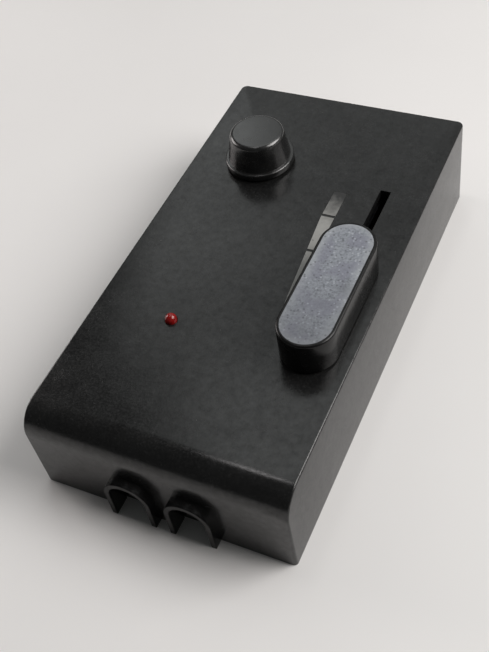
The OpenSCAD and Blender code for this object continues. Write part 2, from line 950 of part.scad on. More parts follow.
top_cover();
bottom_cover();
cover_screws();
scale_marking();
main_board();
board_screws();
gain_knob();
gain_pot_shaft();
gain_pot_wiper();
gain_pot_case();
gain_pot_wafer();
gain_pot_bushing();
gain_pot_washer();
gain_pot_nut();
gain_pot_pins();
slider_cap();
cap_inlay();
slide_carriage();
slide_wiper();
slide_pot_frame();
slide_pot_track();
slide_pot_pins();
slide_pot_screws();
guide_rod();
return_spring();
lamp_lens();
lamp_leads();
lamp_spacer();
heat_sink();
thermal_pads();
transistor_tabs();
transistor_bodies();
transistor_screws();
filter_capacitors();
control_chip();
chip_pins();
current_shunt();
flyback_diode();
voltage_regulator();
resistors();
disc_capacitors();
terminal_blocks();
terminal_screws();
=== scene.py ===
"""Looks of a brake controller unit: finishes, fine detail, floor, lights and camera.

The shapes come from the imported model. Lengths are metres, and a finish's patterns are in millimetres.
"""
import json
import math

import bmesh
import bpy
from mathutils import Euler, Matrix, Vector


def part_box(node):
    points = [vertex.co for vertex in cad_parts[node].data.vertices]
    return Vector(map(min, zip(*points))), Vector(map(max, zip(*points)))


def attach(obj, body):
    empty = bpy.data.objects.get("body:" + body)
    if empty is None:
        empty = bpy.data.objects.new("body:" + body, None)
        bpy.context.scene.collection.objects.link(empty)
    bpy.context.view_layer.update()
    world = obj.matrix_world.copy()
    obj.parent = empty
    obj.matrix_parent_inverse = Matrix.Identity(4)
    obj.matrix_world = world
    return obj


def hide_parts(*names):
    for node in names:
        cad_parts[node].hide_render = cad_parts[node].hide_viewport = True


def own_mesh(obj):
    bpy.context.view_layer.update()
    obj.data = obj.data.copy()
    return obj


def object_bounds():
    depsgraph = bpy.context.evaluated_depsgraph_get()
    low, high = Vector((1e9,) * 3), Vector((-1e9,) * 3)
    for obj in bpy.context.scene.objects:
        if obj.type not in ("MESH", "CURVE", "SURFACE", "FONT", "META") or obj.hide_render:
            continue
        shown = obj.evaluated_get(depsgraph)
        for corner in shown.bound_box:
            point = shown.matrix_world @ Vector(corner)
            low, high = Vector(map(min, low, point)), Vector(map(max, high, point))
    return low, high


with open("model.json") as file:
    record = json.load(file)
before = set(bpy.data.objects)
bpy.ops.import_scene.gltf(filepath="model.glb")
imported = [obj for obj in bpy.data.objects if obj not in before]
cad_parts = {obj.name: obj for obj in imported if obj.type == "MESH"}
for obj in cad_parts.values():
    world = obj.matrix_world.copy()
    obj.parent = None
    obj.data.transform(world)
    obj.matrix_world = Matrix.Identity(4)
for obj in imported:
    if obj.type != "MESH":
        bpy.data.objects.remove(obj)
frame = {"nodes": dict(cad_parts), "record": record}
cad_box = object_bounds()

MM = 0.001
NODES = frame["nodes"]
SLOT_OF = {part["node"]: part["material_slot"] for part in frame["record"]["subparts"]}


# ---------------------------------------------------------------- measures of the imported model

def solids(node):
    """The corner points of each separate solid in a CAD node."""
    bm = bmesh.new()
    bm.from_mesh(NODES[node].data)
    bmesh.ops.remove_doubles(bm, verts=bm.verts, dist=0.001 * MM)
    found = []
    for start in bm.verts:
        if start.tag:
            continue
        start.tag = True
        group = [start]
        for vert in group:
            for edge in vert.link_edges:
                other = edge.other_vert(vert)
                if not other.tag:
                    other.tag = True
                    group.append(other)
        found.append([vert.co.copy() for vert in group])
    bm.free()
    return found


def corners(points):
    """The lowest and highest corners of some points."""
    return tuple(Vector(pick(p[i] for p in points) for i in range(3)) for pick in (min, max))


def middle(points):
    low, high = corners(points)
    return (low + high) / 2


board_under, board_top = (corner.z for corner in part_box("main_board"))
tabs_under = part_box("transistor_tabs")[0].z


# ---------------------------------------------------------------- finishes

def grey(value, tint=(1.0, 1.0, 1.0)):
    """A linear colour of one brightness, with a slight tint."""
    return tuple(value * t for t in tint) + (1.0,)


def shade(colour, share, more=0.0):
    """A lighter or darker shade of a colour."""
    return tuple(min(1.0, c * share + more) for c in colour) + (1.0,)


def feed(tree, socket, value):
    """Links a pattern to a shader input, or sets the input to a constant."""
    if isinstance(value, bpy.types.NodeSocket):
        tree.links.new(value, socket)
    else:
        socket.default_value = value


def add_node(tree, kind, inputs, settings):
    """A new shader node with its settings and inputs."""
    made = tree.nodes.new("ShaderNode" + kind)
    for key, value in settings.items():
        setattr(made, key, value)
    for key, value in dict(inputs).items():
        feed(tree, made.inputs[key], value)
    return made


class Finish:
    """A procedural material whose patterns are measured in millimetres on the object."""

    def __init__(self, name, **shader):
        self.material = bpy.data.materials.new(name)
        self.material.use_nodes = True
        self.tree = self.material.node_tree
        self.shader = self.tree.nodes["Principled BSDF"]
        for key, value in shader.items():
            title = key.replace("_", " ").title().replace("Ior", "IOR")
            self.shader.inputs[title].default_value = value
        self.normal = None
        coordinates = self.node("TexCoord").outputs["Object"]
        self.place = self.vector("MULTIPLY", coordinates, (1 / MM, 1 / MM, 1 / MM))

    def node(self, kind, inputs=(), **settings):
        return add_node(self.tree, kind, inputs, settings)

    def set(self, key, value):
        """Drives one input of the shader with a pattern."""
        feed(self.tree, self.shader.inputs[key], value)

    def read(self, key):
        """The pattern that drives one input of the shader."""
        return self.shader.inputs[key].links[0].from_socket

    def vector(self, operation, a, b):
        return self.node("VectorMath", {0: a, 1: b}, operation=operation).outputs["Vector"]

    def math(self, operation, a, b=0.0):
        return self.node("Math", {0: a, 1: b}, operation=operation).outputs[0]

    def near(self, value, target, reach):
        """1 where a value is within reach of a target, and 0 elsewhere."""
        return self.node("Math", {0: value, 1: target, 2: reach}, operation="COMPARE").outputs[0]

    def axis(self, letter):
        """The place along one axis, in millimetres."""
        return self.node("SeparateXYZ", {"Vector": self.place}).outputs[letter]

    def away(self, x, y):
        """Distance in millimetres from an upright line."""
        flat = self.vector("MULTIPLY", self.place, (1, 1, 0))
        found = self.node("VectorMath", {0: flat, 1: (x, y, 0)}, operation="DISTANCE")
        return found.outputs["Value"]

    def stretched(self, x=1.0, y=1.0, z=1.0, turn=(0.0, 0.0, 0.0)):
        """The place on the object, turned and then stretched along its axes."""
        rotation = tuple(math.radians(a) for a in turn)
        turned = self.node("Mapping", {"Vector": self.place, "Rotation": rotation}).outputs[0]
        return self.vector("MULTIPLY", turned, (1 / x, 1 / y, 1 / z))

    def noise(self, size, detail=2.0, roughness=0.5, at=None):
        """Soft random blotches about size millimetres across, from 0 to 1."""
        inputs = {"Scale": 1 / size, "Detail": detail, "Roughness": roughness}
        return self.node("TexNoise", {"Vector": at or self.place, **inputs}).outputs["Fac"]

    def bands(self, size, axis):
        """Straight bands across an axis, from 0 to 1, one for each size millimetres."""
        waves_per_unit = 10 / math.pi
        inputs = {"Vector": self.place, "Scale": 1 / (waves_per_unit * size)}
        return self.node("TexWave", inputs, bands_direction=axis).outputs["Fac"]

    def span(self, value, low, high, to_low=0.0, to_high=1.0):
        """Moves the range low...high of a pattern to another range, and holds it there."""
        inputs = {"Value": value, "From Min": low, "From Max": high, "To Min": to_low, "To Max": to_high}
        return self.node("MapRange", inputs).outputs["Result"]

    def mix(self, share, a, b):
        """Colour a where share is 0 and colour b where it is 1."""
        made = self.node("Mix", {"Factor": share}, data_type="RGBA")
        colour_inputs = [socket for socket in made.inputs if socket.type == "RGBA"]
        for socket, colour in zip(colour_inputs, (a, b)):
            feed(self.tree, socket, colour)
        return next(socket for socket in made.outputs if socket.type == "RGBA")

    def specks(self, spacing, radius, share):
        """Small random dots: 1 inside a dot. Share is how many of the places carry one."""
        cells = self.node("TexVoronoi", {"Vector": self.place, "Scale": 1 / spacing}).outputs
        random = self.node("SeparateColor", {"Color": cells["Color"]}).outputs[0]
        chosen = self.math("LESS_THAN", random, share)
        edge = radius / spacing
        inside = self.span(cells["Distance"], edge * 0.6, edge, 1.0, 0.0)
        return self.math("MULTIPLY", chosen, inside)

    def scratches(self, turn, width=0.08, length=6.0, amount=0.5):
        """Fine straight hairlines along one direction: 1 on a line."""
        lines = self.noise(1.0, detail=1.0, at=self.stretched(length, width, width, turn))
        patches = self.noise(9.0, detail=2.0)
        thin = self.span(lines, 0.70, 0.76)
        return self.math("MULTIPLY", thin, self.span(patches, 0.62 - 0.2 * amount, 0.72))

    def rounded(self, radius):
        """The surface's direction with its sharp edges rounded by a radius in millimetres."""
        return self.node("Bevel", {"Radius": radius * MM}, samples=4).outputs["Normal"]

    def edges(self, radius):
        """1 along outer and inner edges, falling to 0 at radius millimetres from them."""
        flat = self.node("NewGeometry").outputs["Normal"]
        both = {0: self.rounded(radius), 1: flat}
        agree = self.node("VectorMath", both, operation="DOT_PRODUCT").outputs["Value"]
        return self.span(agree, 0.75, 0.995, 1.0, 0.0)

    def crevices(self, reach):
        """1 in corners and under overhangs nearer than reach millimetres."""
        light = self.node("AmbientOcclusion", {"Distance": reach * MM}, samples=6).outputs["AO"]
        return self.span(light, 0.35, 0.85, 1.0, 0.0)

    def plate(self, mask, colour, rough):
        """Shows plated metal where a mask is 1."""
        self.set("Base Color", self.mix(mask, self.read("Base Color"), colour + (1.0,)))
        self.set("Metallic", mask)
        self.set("Roughness", self.span(mask, 0.0, 1.0, self.read("Roughness"), rough))

    def choose(self, value, colours):
        """One of some colours, by a pattern from 0 to 1."""
        ramp = self.node("ValToRGB", {"Fac": value})
        ramp.color_ramp.interpolation = "CONSTANT"
        elements = ramp.color_ramp.elements
        while len(elements) < len(colours):
            elements.new(1.0)
        for i, colour in enumerate(colours):
            elements[i].position = i / len(colours)
            elements[i].color = colour + (1.0,)
        return ramp.outputs["Color"]

    def bump(self, height, depth):
        """Raises the surface by height, a pattern from 0 to 1, times depth millimetres."""
        inputs = {"Height": height, "Distance": depth * MM}
        if self.normal is not None:
            inputs["Normal"] = self.normal
        self.normal = self.node("Bump", inputs).outputs["Normal"]
        self.set("Normal", self.normal)

    def soften(self, radius):
        """Rounds the shading of sharp edges by a radius in millimetres. It comes before any bump."""
        self.normal = self.rounded(radius)
        self.set("Normal", self.normal)


def case_plastic():
    """Black moulded plastic with a fine spark-eroded grain, handling marks, dust and rubbed edges.

    The front ends of the cable hoods are duller than the rest.
    """
    f = Finish("case_plastic", roughness=0.2, specular_ior_level=0.5)
    f.soften(0.12)
    blotch = f.noise(7.0, detail=4.0, roughness=0.6)
    grain = f.noise(0.55, detail=3.0, roughness=0.7)
    mouth = cad_box[0].y / MM
    past_mouth = f.span(f.axis("Y"), mouth + 0.2, mouth + 1.2)
    rubbed = f.math("MULTIPLY", f.edges(0.45), f.span(f.noise(2.2, detail=4.0), 0.42, 0.66))
    rubbed = f.math("MULTIPLY", rubbed, past_mouth)
    scratch = f.math("MAXIMUM", f.scratches((0, 0, 24)), f.scratches((0, 0, -51), length=9.0))
    dust = f.math("MAXIMUM", f.specks(3.1, 0.13, 0.22), f.specks(1.3, 0.07, 0.10))
    dark, light = grey(0.0055, (1.0, 1.0, 1.02)), grey(0.0085, (1.0, 1.02, 1.02))
    colour = f.mix(f.span(blotch, 0.3, 0.7), dark, light)
    colour = f.mix(f.math("MULTIPLY", f.span(grain, 0.45, 0.75), 0.6), colour, grey(0.02))
    colour = f.mix(f.math("MULTIPLY", scratch, 0.35), colour, grey(0.06))
    colour = f.mix(f.math("MULTIPLY", rubbed, 0.25), colour, grey(0.035))
    colour = f.mix(f.math("MULTIPLY", f.crevices(1.2), 0.12), colour, grey(0.045, (1.0, 0.96, 0.88)))
    colour = f.mix(f.math("MULTIPLY", dust, 0.55), colour, grey(0.16, (1.0, 0.97, 0.92)))
    f.set("Base Color", colour)
    rough = f.span(blotch, 0.25, 0.75, 0.175, 0.24)
    rough = f.math("ADD", rough, f.span(grain, 0.3, 0.7, -0.05, 0.07))
    rough = f.math("ADD", rough, f.math("MULTIPLY", rubbed, -0.04))
    f.set("Roughness", f.math("ADD", rough, f.math("MULTIPLY", dust, 0.4)))
    sheen = f.span(past_mouth, 0.0, 1.0, 0.12, 0.5)
    mottled = f.span(f.noise(1.7, detail=5.0, roughness=0.7), 0.3, 0.7, 0.74, 1.26)
    hazy = f.span(f.noise(30.0, detail=2.0), 0.3, 0.7, 0.88, 1.12)
    dull_edges = f.span(f.edges(0.35), 0.0, 1.0, 1.0, 0.25)
    for share in (mottled, hazy, dull_edges):
        sheen = f.math("MULTIPLY", sheen, share)
    f.set("Specular IOR Level", sheen)
    f.bump(f.noise(16.0, detail=1.0), 0.03)
    f.bump(grain, 0.009)
    f.bump(f.math("SUBTRACT", 1.0, scratch), 0.004)
    return f


def knob_plastic(name="knob_plastic", shine=1.0, dark=0.006, light=0.010):
    """Smooth black plastic, a little worn where fingers hold it."""
    f = Finish(name, roughness=0.22, specular_ior_level=shine)
    f.soften(0.1)
    blotch = f.noise(2.6, detail=4.0, roughness=0.6)
    rubbed = f.math("MULTIPLY", f.edges(0.4), f.span(f.noise(1.6, detail=4.0), 0.4, 0.65))
    long_lines = f.scratches((0, 0, 100), 0.05, 4.0)
    scratch = f.math("MAXIMUM", f.scratches((0, 0, 12), 0.05, 3.0, 0.8), long_lines)
    colour = f.mix(f.span(blotch, 0.3, 0.7), grey(dark), grey(light))
    colour = f.mix(f.math("MULTIPLY", rubbed, 0.35), colour, grey(0.045, (1.0, 0.97, 0.96)))
    colour = f.mix(f.math("MULTIPLY", f.crevices(0.9), 0.2), colour, grey(0.05, (1.0, 0.95, 0.86)))
    colour = f.mix(f.math("MULTIPLY", f.specks(1.7, 0.07, 0.16), 0.6), colour, grey(0.15))
    f.set("Base Color", colour)
    rough = f.span(blotch, 0.25, 0.75, 0.19, 0.30)
    f.set("Roughness", f.math("ADD", rough, f.math("MULTIPLY", scratch, 0.2)))
    f.bump(f.noise(5.0, detail=1.0), 0.02)
    f.bump(f.noise(0.25, detail=2.0), 0.002)
    f.bump(f.math("SUBTRACT", 1.0, scratch), 0.004)
    return f


def cap_grey():
    """The grainy blue-grey pad on the slider's cap, with painted shade towards its front end and in its
    pits, and painted glints.
    """
    f = Finish("cap_grey", roughness=0.5, specular_ior_level=0.4)
    low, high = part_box("cap_inlay")
    coarse = f.noise(2.4, detail=3.0, roughness=0.6)
    grain = f.noise(0.6, detail=2.0, roughness=0.6)
    # Sunken specks, coloured darker as painted shade in them.
    pit_and_shade = f.specks(0.9, 0.32, 0.5)
    # Painted glints: lighter specks that stand in for light catching the grain.
    painted_glint = f.specks(1.1, 0.32, 0.45)
    centre, half = (low + high) / 2 / MM, (high - low) / 2 / MM
    along = f.axis("Y")
    from_middle = f.math("ABSOLUTE", f.math("SUBTRACT", along, centre.y))
    beyond = f.math("SUBTRACT", from_middle, half.y - half.x)
    across = f.math("SUBTRACT", f.axis("X"), centre.x)
    flat = f.node("CombineXYZ", {"X": across, "Y": f.math("MAXIMUM", beyond, 0.0)}).outputs[0]
    reach = f.node("VectorMath", {0: flat}, operation="LENGTH").outputs["Value"]
    border = f.span(reach, half.x - 2.2, half.x - 0.4)
    border = f.math("MULTIPLY", border, f.span(coarse, 0.3, 0.6, 0.35, 0.8))
    dark, light = grey(0.155, (0.90, 0.98, 1.12)), grey(0.235, (0.91, 0.99, 1.11))
    colour = f.mix(f.span(coarse, 0.3, 0.7), dark, light)
    colour = f.mix(f.span(grain, 0.35, 0.65), colour, grey(0.30, (0.92, 0.99, 1.10)))
    lilac = f.span(f.noise(5.0, detail=2.0), 0.45, 0.6, 0.0, 0.6)
    colour = f.mix(lilac, colour, grey(0.185, (0.94, 0.96, 1.20)))
    colour = f.mix(border, colour, grey(0.34, (0.94, 1.0, 1.06)))
    # Painted shade in the pits: the sunken specks are coloured darker.
    colour = f.mix(f.math("MULTIPLY", pit_and_shade, 0.6), colour, grey(0.08, (0.92, 0.98, 1.10)))
    # Painted glints on the grain.
    colour = f.mix(f.math("MULTIPLY", painted_glint, 0.55), colour, grey(0.46, (0.93, 0.99, 1.09)))
    # Painted shade: the pad is darker towards its front end, where less sheen falls, and a smudge darkens
    # a spot near its right side.
    painted_front_shade = f.span(along, low.y / MM + 4, centre.y + 4, 1.0, 0.0)
    painted_front_shade = f.math("MULTIPLY", painted_front_shade, f.span(f.noise(6.0, detail=3.0), 0.25, 0.75, 0.25, 0.6))
    smudge = f.span(f.away(high.x / MM - 1.5, centre.y - 1), 0.0, 4.5, 0.45, 0.0)
    shade_and_smudge = f.math("MAXIMUM", painted_front_shade, smudge)
    f.set("Base Color", f.mix(shade_and_smudge, colour, grey(0.085, (0.92, 0.97, 1.10))))
    f.set("Roughness", f.span(grain, 0.3, 0.7, 0.40, 0.60))
    f.bump(grain, 0.03)
    f.bump(pit_and_shade, -0.02)
    return f


def print_grey():
    """Screen-printed grey ink, worn so that the black shows through, and rubbed away at the back end."""
    f = Finish("print_grey", roughness=0.45)
    back_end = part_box("scale_marking")[1].y / MM
    shade_and_smudge = f.span(f.noise(1.1, detail=5.0, roughness=0.7), 0.60, 0.72)
    colour = f.mix(f.noise(4.0, detail=3.0), grey(0.22, (1.0, 1.0, 0.95)), grey(0.33, (1.0, 1.0, 0.96)))
    fading = f.span(f.axis("Y"), back_end - 13, back_end - 0.5)
    fading = f.math("ADD", fading, f.span(f.noise(1.6, detail=4.0), 0.3, 0.7, -0.12, 0.16))
    lost = f.math("MAXIMUM", f.math("MULTIPLY", shade_and_smudge, 0.7), f.span(fading, 0.1, 1.0))
    f.set("Base Color", f.mix(lost, colour, grey(0.02)))
    f.bump(f.noise(0.2, detail=2.0), 0.004)
    return f


def red_lens():
    """Tinted, slightly cloudy epoxy."""
    f = Finish("red_lens", roughness=0.16, ior=1.5, transmission_weight=0.3, coat_weight=0.3)
    dark, light = (0.26, 0.004, 0.004, 1.0), (0.42, 0.012, 0.010, 1.0)
    f.set("Base Color", f.mix(f.noise(0.8), dark, light))
    f.set("Roughness", f.span(f.noise(0.5, detail=3.0), 0.3, 0.7, 0.12, 0.26))
    return f


def metal(name, colour, rough, grain_turn=(0, 0, 0), streak=4.0, tarnish=0.8, line=0.12):
    """A metal with drawn or turned lines, blotchy tarnish, brighter edges and painted shade in its
    crevices.
    """
    f = Finish(name, metallic=1.0, roughness=rough)
    f.soften(0.06)
    lines = f.noise(1.0, detail=2.0, at=f.stretched(streak, line, line, grain_turn))
    cloud = f.noise(1.8, detail=4.0, roughness=0.65)
    base = f.mix(f.span(cloud, 0.3, 0.7), shade(colour, tarnish), shade(colour, 1.0))
    base = f.mix(f.math("MULTIPLY", f.edges(0.2), 0.4), base, shade(colour, 1.15))
    # Painted shade: the colour darkens in crevices and under overhangs.
    base = f.mix(f.math("MULTIPLY", f.crevices(0.8), 0.35), base, shade(colour, 0.3))
    f.set("Base Color", base)
    f.set("Roughness", f.span(f.math("ADD", lines, cloud), 0.7, 1.3, rough - 0.08, rough + 0.12))
    f.bump(lines, 0.006)
    return f


def plastic(name, dark, light, rough, size=1.5, bump=0.006, bare=None):
    """A moulded or dipped plastic with mottled colour, a fine skin and dust in its corners.

    Bare is a function of the finish that gives 1 where the piece is plated metal instead.
    """
    f = Finish(name, roughness=rough)
    f.soften(0.08)
    blotch = f.noise(size, detail=4.0, roughness=0.6)
    colour = f.mix(f.span(blotch, 0.3, 0.7), shade(dark, 1.0), shade(light, 1.0))
    colour = f.mix(f.math("MULTIPLY", f.edges(0.2), 0.2), colour, shade(light, 1.6, 0.02))
    colour = f.mix(f.math("MULTIPLY", f.crevices(1.0), 0.2), colour, grey(0.10, (1.0, 0.95, 0.86)))
    f.set("Base Color", colour)
    f.set("Roughness", f.span(blotch, 0.25, 0.75, rough - 0.06, rough + 0.1))
    f.bump(f.noise(0.2, detail=3.0), bump)
    if bare:
        f.plate(bare(f), SILVER, PLATED_ROUGH)
    return f


def below(height):
    """A mask for plastic(): 1 under a height in metres."""
    return lambda f: f.math("LESS_THAN", f.axis("Z"), height / MM)


def diode_metal(f):
    """A mask for plastic(): the diode's leads and the band at one end of its body."""
    across = f.math("SUBTRACT", f.axis("X"), sum(c.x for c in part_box("flyback_diode")) / 2 / MM)
    half_body, band_middle, half_band = 4.78, 3.4, 0.5
    leads = f.math("GREATER_THAN", f.math("ABSOLUTE", across), half_body)
    return f.math("MAXIMUM", leads, f.near(across, band_middle, half_band))


def circuit_board():
    """Green solder mask over glass weave, with slightly raised traces in patches of two directions."""
    f = Finish("circuit_board", roughness=0.28, coat_weight=0.3, coat_roughness=0.2)
    across = f.span(f.bands(1.27, "X"), 0.55, 0.68)
    along = f.span(f.bands(1.27, "Y"), 0.55, 0.68)
    patch = f.span(f.noise(11.0, detail=0.0), 0.49, 0.51)
    elsewhere = f.math("SUBTRACT", 1.0, patch)
    trace = f.math("ADD", f.math("MULTIPLY", across, patch), f.math("MULTIPLY", along, elsewhere))
    trace = f.math("MULTIPLY", trace, f.span(f.noise(6.0, detail=0.0), 0.42, 0.44))
    weave = f.math("MULTIPLY", f.bands(0.35, "X"), f.bands(0.35, "Y"))
    mask = f.mix(f.noise(5.0, detail=3.0), (0.006, 0.055, 0.022, 1.0), (0.010, 0.080, 0.034, 1.0))
    f.set("Base Color", f.mix(trace, mask, (0.018, 0.135, 0.055, 1.0)))
    f.set("Roughness", f.span(f.noise(2.0, detail=3.0), 0.3, 0.7, 0.22, 0.36))
    f.bump(weave, 0.003)
    f.bump(trace, 0.03)
    return f


def track_board():
    """Brown phenolic paper."""
    f = Finish("track_board", roughness=0.5)
    fibre = f.noise(1.0, detail=4.0, at=f.stretched(0.3, 2.0, 0.3))
    f.set("Base Color", f.mix(fibre, (0.10, 0.045, 0.018, 1.0), (0.22, 0.11, 0.045, 1.0)))
    f.set("Roughness", f.span(fibre, 0.3, 0.7, 0.42, 0.6))
    f.bump(fibre, 0.01)
    return f


def capacitor_sleeve():
    """Dark blue shrink sleeves with a pale stripe of plain bars, open over scored aluminium tops."""
    f = Finish("capacitor_sleeve", roughness=0.26, coat_weight=0.25)
    f.soften(0.1)
    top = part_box("filter_capacitors")[1].z / MM
    cans = [middle(points) / MM for points in solids("filter_capacitors")]
    blotch = f.noise(3.0, detail=3.0)
    colour = f.mix(blotch, (0.010, 0.016, 0.07, 1.0), (0.016, 0.026, 0.11, 1.0))
    bare_radius, to_stripe, half_stripe, half_bar, half_score = 4.1, 5.0, 0.75, 0.8, 0.15
    on_top = f.math("GREATER_THAN", f.axis("Z"), top - 0.3)
    bare = scored = stripe = 0.0
    for can in cans:
        inside = f.math("LESS_THAN", f.away(can.x, can.y), bare_radius)
        bare = f.math("MAXIMUM", bare, f.math("MULTIPLY", inside, on_top))
        for letter, value in (("X", can.x), ("Y", can.y)):
            line = f.near(f.axis(letter), value, half_score)
            scored = f.math("MAXIMUM", scored, f.math("MULTIPLY", line, inside))
        stripe = f.math("MAXIMUM", stripe, f.near(f.axis("X"), can.x + to_stripe, half_stripe))
    bars = f.math("GREATER_THAN", f.bands(2.2, "Z"), 0.6)
    bars = f.math("MULTIPLY", bars, f.near(f.axis("Y"), cans[0].y, half_bar))
    stripe_colour = f.mix(bars, grey(0.42, (0.95, 1.0, 1.08)), grey(0.03))
    f.set("Base Color", f.mix(stripe, colour, stripe_colour))
    f.set("Roughness", f.span(blotch, 0.3, 0.7, 0.2, 0.34))
    f.plate(bare, (0.66, 0.67, 0.68), 0.36)
    f.bump(f.noise(1.5, detail=2.0), 0.02)
    f.bump(f.math("MULTIPLY", scored, on_top), -0.12)
    return f


def resistor_coat():
    """Tan lacquered bodies with colour bands that differ from row to row, and bare leads."""
    low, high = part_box("resistors")
    f = plastic("resistor_coat", (0.36, 0.22, 0.10), (0.48, 0.32, 0.17), 0.34, 0.9)
    across = f.math("SUBTRACT", f.axis("X"), (low.x + high.x) / 2 / MM)
    row = f.math("FLOOR", f.math("DIVIDE", f.math("SUBTRACT", f.axis("Y"), low.y / MM), RESISTOR_PITCH))
    colour = f.read("Base Color")
    for place in RESISTOR_BANDS:
        seed = f.node("CombineXYZ", {"X": row, "Y": place}).outputs[0]
        random = f.node("TexWhiteNoise", {"Vector": seed}, noise_dimensions="2D").outputs["Value"]
        band = f.near(across, place, HALF_BAND)
        colour = f.mix(band, colour, f.choose(random, BAND_COLOURS))
    f.set("Base Color", colour)
    leads = f.math("GREATER_THAN", f.math("ABSOLUTE", across), HALF_RESISTOR)
    f.plate(leads, SILVER, PLATED_ROUGH)
    return f


SILVER = (0.62, 0.62, 0.61)
PLATED_ROUGH = 0.32
# Dark colour, light colour, roughness, blotch size and skin depth, for plastic()
EPOXY = ((0.010, 0.010, 0.011), (0.020, 0.020, 0.021), 0.55, 0.7, 0.012)
CERAMIC = ((0.36, 0.13, 0.03), (0.50, 0.20, 0.05), 0.4, 1.0, 0.03)
PAD = ((0.30, 0.33, 0.36), (0.40, 0.43, 0.45), 0.7, 0.8, 0.015)
NYLON = ((0.52, 0.50, 0.44), (0.66, 0.64, 0.58), 0.42)
BLACK_NYLON = ((0.010, 0.010, 0.010), (0.018, 0.018, 0.018), 0.45)
RESISTOR_PITCH = 5.0
HALF_RESISTOR = 3.03
RESISTOR_BANDS = (-1.75, -0.65, 0.35, 2.1)
HALF_BAND = 0.24
BAND_COLOURS = [
    (0.012, 0.010, 0.010), (0.10, 0.03, 0.012), (0.42, 0.02, 0.015), (0.60, 0.16, 0.01),
    (0.62, 0.46, 0.03), (0.03, 0.20, 0.04), (0.02, 0.05, 0.28), (0.30, 0.30, 0.30),
]
FINISHES = {
    "case_plastic": case_plastic,
    "knob_plastic": knob_plastic,
    "cap_grey": cap_grey,
    "print_grey": print_grey,
    "red_lens": red_lens,
    "black_steel": lambda: metal("black_steel", (0.045, 0.045, 0.048), 0.42, tarnish=0.6),
    "zinc_steel": lambda: metal("zinc_steel", (0.60, 0.61, 0.60), 0.28),
    "plated_steel": lambda: metal("plated_steel", (0.52, 0.51, 0.48), 0.34),
    "spring_steel": lambda: metal("spring_steel", (0.50, 0.50, 0.51), 0.26, streak=0.6, line=0.05),
    "contact_brass": lambda: metal("contact_brass", (0.72, 0.50, 0.20), 0.3),
    "tinned_wire": lambda: metal("tinned_wire", SILVER, 0.35, tarnish=0.85),
    "bare_aluminium": lambda: metal("bare_aluminium", (0.66, 0.67, 0.68), 0.38, (0, 90, 0), 12.0),
    "copper_strap": lambda: metal("copper_strap", (0.60, 0.33, 0.18), 0.34),
    "circuit_board": circuit_board,
    "track_board": track_board,
    "white_nylon": lambda: plastic("white_nylon", *NYLON),
    "black_nylon": lambda: plastic("black_nylon", *BLACK_NYLON),
    "pad_rubber": lambda: plastic("pad_rubber", *PAD),
    "chip_epoxy": lambda: plastic("chip_epoxy", *EPOXY),
    "capacitor_sleeve": capacitor_sleeve,
    "resistor_coat": resistor_coat,
    "ceramic_orange": lambda: plastic("ceramic_orange", *CERAMIC, bare=below(board_top + 1.05 * MM)),
    "terminal_green": lambda: plastic("terminal_green", (0.012, 0.13, 0.05), (0.02, 0.18, 0.07), 0.4),
}
# Nodes that differ from their slot: a duller cap, and moulded bodies with bare leads
NODE_FINISHES = {
    "slider_cap": lambda: knob_plastic("cap_plastic", 0.28, 0.004, 0.006),
    "transistor_bodies": lambda: plastic("power_epoxy", *EPOXY, bare=below(tabs_under)),
    "voltage_regulator": lambda: plastic("regulator_epoxy", *EPOXY, bare=below(board_top + 2.0 * MM)),
    "flyback_diode": lambda: plastic("diode_epoxy", *EPOXY, bare=diode_metal),
}
made_finishes = {slot: make().material for slot, make in FINISHES.items()}
node_finishes = {node: make().material for node, make in NODE_FINISHES.items()}


# ---------------------------------------------------------------- smooth shading of the CAD nodes

def smooth_by_angle(name, degrees):
    """A modifier group that joins the tessellation's corners and keeps only real edges sharp."""
    group = bpy.data.node_groups.new(name, "GeometryNodeTree")
    group.interface.new_socket("Geometry", in_out="INPUT", socket_type="NodeSocketGeometry")
    group.interface.new_socket("Geometry", in_out="OUTPUT", socket_type="NodeSocketGeometry")
    new = group.nodes.new
    start, end = new("NodeGroupInput"), new("NodeGroupOutput")
    weld = new("GeometryNodeMergeByDistance")
    weld.inputs["Distance"].default_value = 0.0005 * MM
    plain = new("GeometryNodeRemoveAttribute")
    plain.inputs["Name"].default_value = "custom_normal"
    smooth = new("GeometryNodeSetShadeSmooth")
    sharp = new("GeometryNodeSetShadeSmooth")
    sharp.domain = "EDGE"
    sharp.inputs["Shade Smooth"].default_value = False
    angle = new("GeometryNodeInputMeshEdgeAngle")
    steep = new("FunctionNodeCompare")
    steep.data_type = "FLOAT"
    steep.operation = "GREATER_THAN"
    steep.inputs["B"].default_value = math.radians(degrees)
    link = group.links.new
    link(angle.outputs["Unsigned Angle"], steep.inputs["A"])
    link(steep.outputs["Result"], sharp.inputs["Selection"])
    chain = [start, weld, plain, smooth, sharp, end]
    for a, b in zip(chain, chain[1:]):
        link(a.outputs[0], b.inputs[0])
    return group


shading = smooth_by_angle("smooth_by_angle", 32)
for node_name, cad in NODES.items():
    modifier = cad.modifiers.new("shading", "NODES")
    modifier.node_group = shading
    for material_slot in cad.material_slots:
        material_slot.material = node_finishes.get(node_name, made_finishes[SLOT_OF[node_name]])


# ---------------------------------------------------------------- fine detail

def piece(name, bm, slot):
    """Turns a mesh in the making into a shaded piece that rides on the housing."""
    bmesh.ops.recalc_face_normals(bm, faces=bm.faces)
    mesh = bpy.data.meshes.new(name)
    bm.to_mesh(mesh)
    bm.free()
    mesh.materials.append(made_finishes[slot])
    made = bpy.data.objects.new(name, mesh)
    bpy.context.scene.collection.objects.link(made)
    made.modifiers.new("shading", "NODES").node_group = shading
    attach(made, "housing")
    return made


